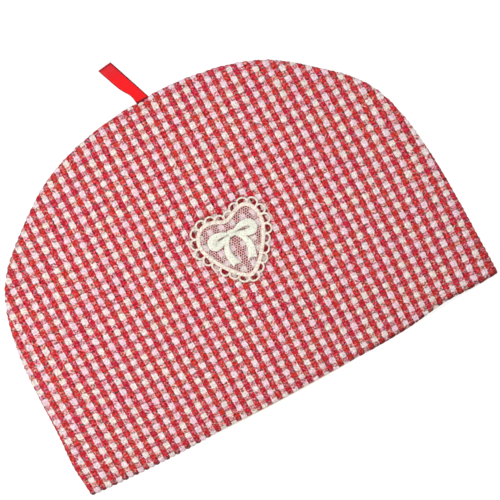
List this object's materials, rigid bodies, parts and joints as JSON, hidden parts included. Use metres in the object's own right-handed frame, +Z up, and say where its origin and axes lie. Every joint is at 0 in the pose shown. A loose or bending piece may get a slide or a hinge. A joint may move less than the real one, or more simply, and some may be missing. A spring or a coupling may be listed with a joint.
{
  "type": "tea cosy",
  "caption": "Dome-shaped padded cloth cover, open at its hem, that stands over a teapot, with a ribbon loop at its top and a lace heart on its front.",
  "frame": {"origin": "centre of the bounding box at the level of the hem, where the cosy stands", "axes": "+Z up from the hem to the ribbon loop, +X along the cosy's width to the viewer's right, and -Y the front with the lace heart"},
  "size_m": [0.3496, 0.0865, 0.2831],
  "materials": {
    "checked_cotton": "matte woven cotton in small crimson and cream checks, softly puckered over wadding",
    "cream_lining": "plain matte cotton",
    "red_satin": "satin ribbon with woven edges",
    "ivory_lace": "raised matte thread lace",
    "ivory_net": "sheer net"
  },
  "bodies": {
    "root": {"panel_front": "checked_cotton", "panel_back": "checked_cotton", "lining_front": "cream_lining", "lining_back": "cream_lining", "ribbon_loop": "red_satin", "heart_edging": "ivory_lace", "heart_net": "ivory_net", "heart_bow": "ivory_lace"}
  },
  "joints": []
}
